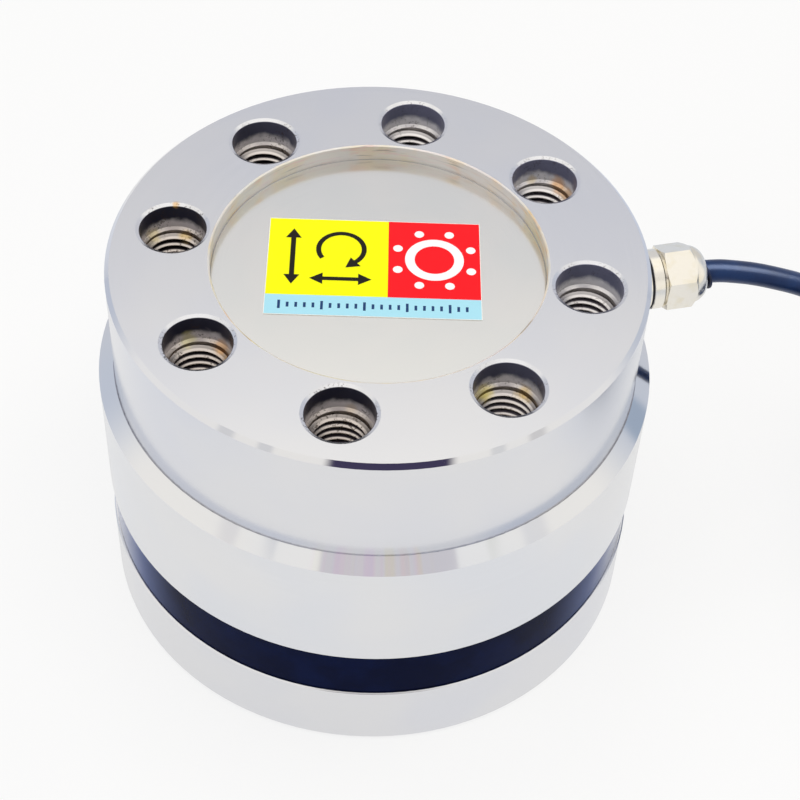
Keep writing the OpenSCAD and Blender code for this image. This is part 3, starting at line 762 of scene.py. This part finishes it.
# the cable's jacket: polyurethane, extruded navy blue, semi-gloss, dusty in patches
def polyurethane():
    mat, tree, shader = newMaterial("polyurethane, extruded navy blue", "22315f", 0.3, IOR=1.5,
                                    Specular_IOR_Level=0.75, Specular_Tint=colour("98aae8"))
    place = addNode(tree, "TexCoord", output="Object")
    fine = addNode(tree, "TexNoise", (place, 1 / (0.9 * mm), 3.0))
    tint = addNode(tree, "Mix", (patches(tree, place, 6.0, 3.0), "061e42", "0b2a54"), **inColour)
    dress(tree, shader, tint, addNode(tree, "MapRange", (fine, 0, 1, 0.24, 0.36)), fine, 0.02)
    return mat


# sleeve over the end of the cable: polyolefin shrunk on, black, faintly wrinkled
def shrunkSleeve():
    mat, tree, shader = newMaterial("polyolefin, shrunk on, black", "101114", 0.4, IOR=1.5)
    place = addNode(tree, "TexCoord", output="Object")
    wrinkles = addNode(tree, "TexNoise", (place, 1 / (1.5 * mm), 3.0))
    dress(tree, shader, addNode(tree, "Mix", (wrinkles, "0c0d10", "191a1e"), **inColour),
          addNode(tree, "MapRange", (wrinkles, 0, 1, 0.32, 0.5)), wrinkles, 0.05)
    return mat


# small parts inside, cores and inks: two close shades and a grain of its own size
def grained(name, dark, light, roughness, metallic, grain, depth, **values):
    mat, tree, shader = newMaterial(name, light, roughness[0], metallic, **values)
    place = addNode(tree, "TexCoord", output="Object")
    fine = addNode(tree, "TexNoise", (place, 1 / (grain * mm), 3.0))
    dress(tree, shader, addNode(tree, "Mix", (zone(tree, (fine, 0.35, 0.65)), dark, light), **inColour),
          addNode(tree, "MapRange", (fine, 0, 1, *roughness)), fine, depth)
    return mat


# the gauges: polyimide film, amber and clear, with a fine meander of constantan
def gaugeFoil():
    mat, tree, shader = newMaterial("polyimide film with a constantan grid", "d29a3a", 0.3)
    place = addNode(tree, "TexCoord", output="Object")
    lines = addNode(tree, "TexWave", (place, 1 / (4 * mm), 0.0), "Fac", bands_direction="Z")
    tint = addNode(tree, "Mix", (zone(tree, (lines, 0.45, 0.55)), "d8a040", "b9b4a6"), **inColour)
    dress(tree, shader, tint, addNode(tree, "MapRange", (lines, 0, 1, 0.22, 0.4)))
    return mat


def paintNodes():
    steel, cover, foil = turnedSteel(), coverSteel(), gaugeFoil()
    nickel, nylon, jacket, shrunk = nickelBrass(), mouldedNylon(), polyurethane(), shrunkSleeve()
    rubber = nitrileRubber("nitrile rubber, black", "090a10", "14151f")
    lip = nitrileRubber("nitrile rubber, dark blue", "03102e", "081a44")
    # both shades, roughness, metallic, grain and its depth in mm
    zinc = grained("steel, zinc plated", "b9bcc2", "d3d5d9", (0.22, 0.34), 1.0, 0.5, 0.003)
    wires = grained("copper wire, enamelled red", "8e1712", "b3281e", (0.2, 0.3), 0.0, 0.4, 0.003)
    insulation = grained("PVC, extruded red", "a8241c", "c93a2e", (0.3, 0.42), 0.0, 0.6, 0.004)
    brass = grained("brass, turned", "c4a052", "d9b869", (0.2, 0.3), 1.0, 0.4, 0.003)
    laminate = grained("glass laminate with green mask", "0d4a26", "16653a", (0.3, 0.42), 0.0, 0.8, 0.01)
    lacquer = grained("resistor, lacquered beige", "c9b88c", "dccb9f", (0.25, 0.38), 0.0, 0.6, 0.006)
    tin = grained("copper strands, tinned", "c2c4c6", "dcdde0", (0.25, 0.38), 1.0, 0.25, 0.004)
    finishes = {
        "elastic_body": steel, "cover_sleeve": sleeveSteel(), "sealing_ring": siliconeRubber(),
        "top_cover_plate": cover, "bottom_cover_plate": cover, "label": printedFilm(),
        "sleeve_o_ring": rubber, "top_cover_o_ring": rubber, "bottom_cover_o_ring": rubber,
        "torque_gauges": foil, "thrust_gauges": foil, "gauge_leads": wires, "terminal_board": laminate,
        "trim_resistors": lacquer, "board_spacers": brass, "board_screws": zinc, "clamp_screws": zinc,
        "signal_wires": insulation, "inner_cable": jacket, "cable_clamp": nylon,
        "gland_lock_ring": nickel, "gland_body": nickel, "gland_dome_nut": nickel,
        "gland_o_ring": rubber, "gland_claw": nylon, "gland_seal": lip,
        "cable_tie": nylon, "cable_end_sleeve": shrunk, "cable_cores": insulation,
    }
    for name, mat in finishes.items():
        paint(nodes[name], mat)
    paint(cable, jacket)
    return {"steel": steel, "nylon": nylon, "shrunk": shrunk, "tin": tin}


finishes = paintNodes()
print("nodes painted")


# turns the outline's points in the plane of radius and height into a closed shell
def spunShell(bm, points, steps):
    ring = [bm.verts.new((r * mm, 0, z * mm)) for r, z in points]
    edges = [bm.edges.new((a, b)) for a, b in zip(ring, ring[1:] + ring[:1])]
    bmesh.ops.spin(bm, geom=[*ring, *edges], cent=(0, 0, 0), axis=(0, 0, 1), angle=math.tau,
                   steps=steps, use_merge=True)


# keeps the edges that turn by more than an angle sharp
def markSharp(bm, degrees):
    for e in bm.edges:
        e.smooth = e.calc_face_angle(math.pi) < math.radians(degrees)


def newVerts(made):
    return [g for g in made["geom"] if isinstance(g, bmesh.types.BMVert)]


# threads in the sixteen bolt holes: M14 with a 2 mm pitch, right-handed, faded out at both ends
threadSet = {
    "pitch": 2.0,
    "rootR": 7.03,  # just inside the bore's wall
    "crestR": 5.92,
    "rootWidth": 1.75,
    "crestWidth": 0.25,
    "steps": 48,  # in one turn
    "runOut": 1.2,
    "firstTurn": 84,  # where the first one starts, in degrees, and each one after it
    "nextTurn": 5,
    "topFrom": 7.2,  # below the upper face
    "topTo": 23.9,
    "baseFrom": 1.0,  # above the lower face
    "baseTo": 12.9,
}


def threadRidge(low, high):
    s = threadSet
    bm = bmesh.new()
    half, crest = s["rootWidth"] / 2, s["crestWidth"] / 2
    outline = [(s["rootR"], -half), (s["crestR"], -crest), (s["crestR"], crest), (s["rootR"], half)]
    start = low + half
    face = bm.faces.new([bm.verts.new((r * mm, 0, (start + z) * mm)) for r, z in outline])
    steps = int((high - low - s["rootWidth"]) / s["pitch"] * s["steps"])
    bmesh.ops.spin(bm, geom=[face, *face.edges, *face.verts], cent=(0, 0, 0), axis=(0, 0, 1),
                   dvec=(0, 0, s["pitch"] / s["steps"] * mm), angle=math.tau * steps / s["steps"],
                   steps=steps)
    # the run-in and run-out are cut back to the bore's wall
    wall = s["rootR"] * mm
    for v in bm.verts:
        z, r = v.co.z / mm, v.co.xy.length
        fade = min((z - low) / s["runOut"], (high - z) / s["runOut"], 1.0)
        v.co.xy *= (wall + (r - wall) * easeInOut(max(fade, 0.1))) / r
    bmesh.ops.recalc_face_normals(bm, faces=bm.faces)
    markSharp(bm, 22)
    mesh = bpy.data.meshes.new("ridge")
    bm.to_mesh(mesh)
    bm.free()
    return mesh


def threadedHoles(name, low, high):
    ridge = threadRidge(low, high)
    bm = bmesh.new()
    for i in range(steelSet["holes"]):
        mark = len(bm.verts)
        bm.from_mesh(ridge)
        bm.verts.ensure_lookup_table()
        turn = Matrix.Rotation(math.radians(threadSet["firstTurn"] + threadSet["nextTurn"] * i), 4, "Z")
        out = Matrix.Translation((steelSet["pitchRadius"] * mm, 0, 0))
        angle = math.radians(steelSet["holeTurn"]) + math.tau * i / steelSet["holes"]
        place = Matrix.Rotation(angle, 4, "Z") @ out @ Matrix.Rotation(-angle, 4, "Z")
        bmesh.ops.transform(bm, matrix=place @ turn, verts=bm.verts[mark:])
    bpy.data.meshes.remove(ridge)
    piece = newPiece(name, bm)
    paint(piece, finishes["steel"])
    return len(piece.data.polygons)


topHeight = topZ / mm
ridgeFaces = threadedHoles("top_threads", topHeight - threadSet["topTo"], topHeight - threadSet["topFrom"])
ridgeFaces += threadedHoles("base_threads", threadSet["baseFrom"], threadSet["baseTo"])
print("threads cut:", ridgeFaces, "faces")


# the end of the cable: shrunk sleeve and six stripped cores
endSet = {
    # radius and height
    "sleeve": [(2.86, 0), (3.12, 0.4), (3.18, 3.2), (3.16, 9.5), (2.9, 11.6), (2.35, 13.4), (2.2, 14.0)],
    "sleeveWall": 0.5,
    "wrinkled": 9,  # height at which the wrinkles start
    "folds": 7,
    "foldDepth": 0.012,  # as a share of the radius
    "coreR": 0.6,
    "coreRing": 1.35,  # radius at which they leave the sleeve
    "strandR": 0.36,
    "bare": 4.5,  # stripped length
    "cores": ["b3201c", "141414", "1f6b35", "e9e6df", "d9b51c", "2a4fa3"],
    "fan": 6.5,
    "spread": 1.6,  # the higher, the later they part
    "drop": 1.35,  # how soon they reach the floor
    "length": 18,
    "steps": 24,
}
endTurn = math.radians(90 - cableSet["tail"])
coilCentre = Vector((cableSet["route"][-1][0] * mm, (coilLow.y + coilHigh.y) / 2, 0))
coilHeight = cableSet["layers"] * cableSet["diameter"]
endPlace = Vector((cableSet["coilMid"] / 2, 0, coilHeight + cableSet["endSleeve"])) * mm
atEnd = (Matrix.Translation(coilCentre) @ Matrix.Rotation(endTurn, 4, "Z")
         @ Matrix.Translation(endPlace) @ Matrix.Rotation(math.radians(90), 4, "X"))


def endSleeve():
    s = endSet
    bm = bmesh.new()
    inner = [(r - s["sleeveWall"], z) for r, z in reversed(s["sleeve"])]
    spunShell(bm, s["sleeve"] + inner, 48)
    for v in bm.verts:
        z = v.co.z / mm
        if z > s["wrinkled"]:
            a = math.atan2(v.co.y, v.co.x)
            v.co.xy *= 1 + s["foldDepth"] * math.sin(s["folds"] * a + z) * easeInOut((z - s["wrinkled"]) / 3)
    bmesh.ops.recalc_face_normals(bm, faces=bm.faces)
    bmesh.ops.transform(bm, matrix=atEnd, verts=bm.verts)
    piece = newPiece("end_sleeve", bm)
    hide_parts("cable_end_sleeve")
    paint(piece, finishes["shrunk"])
    return piece


def endCores():
    s = endSet
    sleeveEnd, rest = s["sleeve"][-1][1], 1.1 * s["coreR"] - cableSet["endSleeve"]
    pieces = []
    for i, tint in enumerate(s["cores"], 1):
        a = math.radians(60 * i - 45)
        start = Vector((s["coreRing"] * math.cos(a), s["coreRing"] * math.sin(a), sleeveEnd - 1))
        finish = Vector((s["fan"] * math.cos(a), rest, sleeveEnd + s["length"]))
        line = []
        for k in range(s["steps"] + 1):
            t = k / s["steps"]
            p = start.lerp(finish, t)
            p.x = start.x + (finish.x - start.x) * t ** s["spread"]
            p.y = start.y + (finish.y - start.y) * easeInOut(t * s["drop"])
            line.append(atEnd @ (p * mm))
        cut = round(s["steps"] * (1 - s["bare"] / s["length"]))
        jacket = tube("core_%d" % i, line[:cut + 1], s["coreR"] * mm, 4)
        strand = tube("strand_%d" % i, line[cut:], s["strandR"] * mm, 4)
        paint(jacket, grained("PVC, extruded, core %d" % i, tint, tint, (0.3, 0.42), 0.0, 0.6, 0.004))
        paint(strand, finishes["tin"])
        pieces += [jacket, strand]
    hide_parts("cable_cores")
    return pieces


# the tie: a nylon strap pulled tight round the bundle, with its ratchet head on the outer side
tieSet = {
    "width": 4.8,
    "thick": 1.1,
    "corner": 3.0,
    "head": (5.2, 7.4, 5.6),  # out, along the turns, up
    "headZ": 12,
    "headOut": 0.44,  # from the bundle to the head
    "headWall": 0.9,
    "pocket": 1.2,
    "tail": 5,  # what is left above the head after cutting
    "tailIn": 3,  # and what sits in it
    "tailOut": 0.5,
    "edge": 0.25,
}


def addBlock(bm, size, place):
    made = bmesh.ops.create_cube(bm, size=1.0)
    bmesh.ops.scale(bm, vec=Vector(size) * mm, verts=made["verts"])
    bmesh.ops.translate(bm, vec=Vector(place) * mm, verts=made["verts"])
    return {f for v in made["verts"] for f in v.link_faces}


# the strap, from its outer line round the bundle in the plane of radius and height
def addStrap(bm, inner, outer, high):
    s = tieSet
    c = s["corner"]
    line = []
    for r, z, start, dr, dz in ((inner, 0, 180, c, c), (outer, 0, 270, -c, c),
                                (outer, high, 0, -c, -c), (inner, high, 90, c, -c)):
        for k in range(7):
            a = math.radians(start + 15 * k)
            line.append((r + dr + c * math.cos(a), z + dz + c * math.sin(a)))
    half = s["width"] / 2 * mm
    ring = [bm.verts.new((r * mm, -half, z * mm)) for r, z in line]
    edges = [bm.edges.new((a, b)) for a, b in zip(ring, ring[1:] + ring[:1])]
    made = bmesh.ops.extrude_edge_only(bm, edges=edges)
    bmesh.ops.translate(bm, vec=(0, 2 * half, 0), verts=newVerts(made))
    bmesh.ops.recalc_face_normals(bm, faces=bm.faces)
    centre = Vector(((inner + outer) / 2, 0, high / 2)) * mm
    face = bm.faces[:][0]
    if face.normal.dot(face.calc_center_median() - centre) < 0:
        bmesh.ops.reverse_faces(bm, faces=bm.faces)
    bmesh.ops.solidify(bm, geom=bm.faces, thickness=s["thick"] * mm)


def cableTie():
    s = tieSet
    outside = (coilHigh.x - coilLow.x) / 2 / mm
    inside = cableSet["coilMid"] - outside
    bm = bmesh.new()
    addStrap(bm, inside - s["thick"], outside + s["thick"], coilHeight + s["thick"])
    # the head: a block with a pocket in its top, from which the cut tail stands
    deep, _, tall = s["head"]
    headFaces = addBlock(bm, s["head"], (outside + s["headOut"] + deep / 2, 0, s["headZ"]))
    upper = max(headFaces, key=lambda f: f.calc_center_median().z)
    bmesh.ops.inset_individual(bm, faces=[upper], thickness=s["headWall"] * mm)
    floor = bmesh.ops.extrude_discrete_faces(bm, faces=[upper])["faces"][0]
    bmesh.ops.translate(bm, vec=(0, 0, -s["pocket"] * mm), verts=floor.verts)
    addBlock(bm, (s["thick"], s["width"], s["tail"] + s["tailIn"]),
             (outside + s["tailOut"] + deep / 2, 0, s["headZ"] + tall / 2 + (s["tail"] - s["tailIn"]) / 2))
    bmesh.ops.recalc_face_normals(bm, faces=bm.faces)
    sharp = [e for e in bm.edges if len(e.link_faces) == 2 and e.calc_face_angle() > math.radians(50)]
    bmesh.ops.bevel(bm, geom=sharp, offset=s["edge"] * mm, segments=2, profile=0.5, affect="EDGES",
                    material=-1, offset_type="OFFSET", clamp_overlap=True)
    turn = Matrix.Rotation(math.radians(cableSet["tie"]), 4, "Z")
    bmesh.ops.transform(bm, matrix=Matrix.Translation(coilCentre) @ turn, verts=bm.verts)
    markSharp(bm, 35)
    piece = newPiece("nylon_tie", bm)
    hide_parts("cable_tie")
    paint(piece, finishes["nylon"])
    return piece


sleeveEnd, coreEnds, tie = endSleeve(), endCores(), cableTie()
tuple(Vector(cableSet["route"][0]) * mm)
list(coreEnds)
print("cable's end dressed")


# marks printed on the label: plain signs for thrust, sideways force and torque, a ring with eight dots
# and a scale
markSet = {
    "thick": 0.02,  # mm, ink on the film
    "arrowWidth": 1.15,
    "headWidth": 3.6,
    "headLength": 3.0,
    "upright": (-8, 0, 9),  # place from the middle of the yellow field, and half its length
    "level": (3, -7, 7),
    "bend": (3, 2.6, 5.2),  # and radius
    "bendTurn": (-50, 215),  # degrees
    "ring": (5.6, 2.2),  # radius and width
    "dots": (8, 9, 1.1),  # number, distance from the ring's centre, radius
    "ticks": 23,
    "tickStep": 1.9,
    "tickWidth": 0.6,
    "tickHeight": (1.5, 2.6),  # and every fifth one
    "black": "120e06",
    "white": "fdfdfd",
    "navy": "1f3f6e",
}


# a flat region on the label, given its thickness
def thicken(bm, faces):
    made = bmesh.ops.extrude_face_region(bm, geom=faces)
    bmesh.ops.translate(bm, vec=(0, 0, markSet["thick"] * mm), verts=newVerts(made))


# a shape from its outline, in the label's own millimetres
def inkShape(bm, points):
    thicken(bm, [bm.faces.new([bm.verts.new((x * mm, y * mm, labelTop)) for x, y in points])])


def doubleArrow(bm, centre, way, reach):
    s = markSet
    half, head, neck = s["arrowWidth"] / 2, s["headWidth"] / 2, reach - s["headLength"]
    tip = [(neck, -half), (neck, -head), (reach, 0), (neck, head), (neck, half)]
    along, side = Vector(way), Vector((-way[1], way[0]))
    inkShape(bm, [centre + along * a + side * b for a, b in tip + [(-a, -b) for a, b in tip]])


# a ring or a part of one, spun from its short edge
def arc(bm, centre, radius, width, start, end, steps):
    middle = Vector((centre[0] * mm, centre[1] * mm, labelTop))
    ray = Vector((math.cos(math.radians(start)), math.sin(math.radians(start)), 0)) * mm
    ends = [bm.verts.new(middle + ray * (radius + k * width / 2)) for k in (-1, 1)]
    before = set(bm.faces)
    bmesh.ops.spin(bm, geom=[*ends, bm.edges.new(ends)], cent=middle, axis=(0, 0, 1), steps=steps,
                   angle=math.radians(end - start), use_merge=end - start == 360)
    thicken(bm, [f for f in bm.faces if f not in before])


def dot(bm, centre, radius):
    place = Matrix.Translation((centre[0] * mm, centre[1] * mm, labelTop))
    made = bmesh.ops.create_circle(bm, cap_ends=True, segments=20, radius=radius * mm, matrix=place)
    thicken(bm, made["verts"][0].link_faces[:])


def finishMarks(name, bm, ink):
    s = labelSet
    bmesh.ops.remove_doubles(bm, verts=bm.verts, dist=0.001 * mm)
    turn = Matrix.Rotation(math.radians(s["turn"]), 4, "Z")
    move = Matrix.Translation((s["centre"][0] * mm, s["centre"][1] * mm, 0))
    bmesh.ops.transform(bm, matrix=move @ turn, verts=bm.verts)
    bmesh.ops.recalc_face_normals(bm, faces=bm.faces)
    paint(newPiece(name, bm, smooth=False),
          grained("printing ink, " + ink, markSet[ink], markSet[ink], (0.3, 0.42), 0.0, 0.8, 0.002,
                  Specular_IOR_Level=0.2))


# thrust, sideways force and torque on the yellow field
def printArrows(middle):
    s = markSet
    bm = bmesh.new()
    for key, way in (("upright", (0, 1)), ("level", (1, 0))):
        x, y, reach = s[key]
        doubleArrow(bm, middle + Vector((x, y)), way, reach)
    x, y, radius = s["bend"]
    centre, start = middle + Vector((x, y)), math.radians(s["bendTurn"][0])
    arc(bm, centre, radius, s["arrowWidth"], *s["bendTurn"], 36)
    ray = Vector((math.cos(start), math.sin(start)))
    base, half = centre + ray * radius, ray * s["headWidth"] / 2
    inkShape(bm, [base - half, base + half, base + Vector((ray.y, -ray.x)) * s["headLength"]])
    finishMarks("label_arrows", bm, "black")


# the ring of holes on the red field
def printRing(middle):
    bm = bmesh.new()
    arc(bm, middle, *markSet["ring"], 0, 360, 64)
    count, reach, radius = markSet["dots"]
    for k in range(count):
        a = math.tau * (k + 0.5) / count
        dot(bm, middle + Vector((math.cos(a), math.sin(a))) * reach, radius)
    finishMarks("label_ring", bm, "white")


# the scale on the pale blue strip
def printScale(y):
    s = markSet
    bm = bmesh.new()
    half = s["tickWidth"] / 2
    for i in range(s["ticks"]):
        x = s["tickStep"] * (i - (s["ticks"] - 1) / 2)
        tall = s["tickHeight"][i % 5 == 0] / 2
        inkShape(bm, [(x - half, y - tall), (x + half, y - tall), (x + half, y + tall), (x - half, y + tall)])
    finishMarks("label_scale", bm, "navy")


halfLabel, halfStrip = labelSet["size"][0] / 2, labelSet["strip"] / 2
printArrows(Vector(((labelSet["split"] - halfLabel) / 2, halfStrip)))
printRing(Vector(((labelSet["split"] + halfLabel) / 2, halfStrip)))
printScale(halfStrip - labelSet["size"][1] / 2)
print("label printed")

[[list(v) for v in box] for box in (cadBox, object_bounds())]
